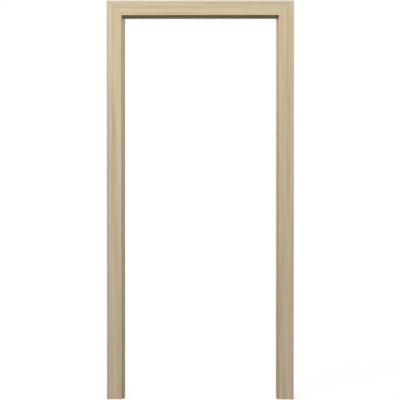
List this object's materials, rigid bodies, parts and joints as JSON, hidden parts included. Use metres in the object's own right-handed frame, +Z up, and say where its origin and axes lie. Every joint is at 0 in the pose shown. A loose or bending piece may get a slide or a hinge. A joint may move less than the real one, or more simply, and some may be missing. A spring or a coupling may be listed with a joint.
{
  "type": "wooden door frame",
  "caption": "Interior door frame in light oak laminate: rebated and mitred lining with a flat surround in front and an adjustable surround behind that slides to suit the wall.",
  "frame": {"origin": "middle of the frame's footprint, at floor level", "axes": "+Z up the jambs, +X to the right seen from the front, the front face (the side on which the door leaf closes) towards -Y"},
  "size_m": [0.984, 0.1486, 2.1005],
  "materials": {
    "oak_laminate": "light oak laminate on fibreboard, satin",
    "seal": "beige elastomer, matt",
    "zinc": "cast zinc, satin",
    "steel": "zinc-plated steel",
    "nylon": "moulded nylon"
  },
  "bodies": {
    "fixed_frame": {"lining_left": "oak_laminate", "lining_right": "oak_laminate", "lining_head": "oak_laminate", "architrave_left": "oak_laminate", "architrave_right": "oak_laminate", "architrave_head": "oak_laminate", "gasket_left": "seal", "gasket_right": "seal", "gasket_head": "seal", "cam_left_jamb_1": "zinc", "cam_left_jamb_2": "zinc", "cam_left_head_1": "zinc", "cam_left_head_2": "zinc", "cam_right_jamb_1": "zinc", "cam_right_jamb_2": "zinc", "cam_right_head_1": "zinc", "cam_right_head_2": "zinc", "corner_bolt_left_1": "steel", "corner_bolt_left_2": "steel", "corner_bolt_right_1": "steel", "corner_bolt_right_2": "steel", "front_key_left_1": "nylon", "front_key_left_2": "nylon", "front_key_right_1": "nylon", "front_key_right_2": "nylon"},
    "adjustable_surround": {"rear_casing_left": "oak_laminate", "rear_casing_right": "oak_laminate", "rear_casing_head": "oak_laminate", "rear_key_left_1": "nylon", "rear_key_left_2": "nylon", "rear_key_right_1": "nylon", "rear_key_right_2": "nylon"}
  },
  "joints": [
    {"name": "wall_adjustment", "type": "slide", "parent": "fixed_frame", "child": "adjustable_surround", "axis": [0, 1, 0], "range_m": [0, 0.02]}
  ]
}
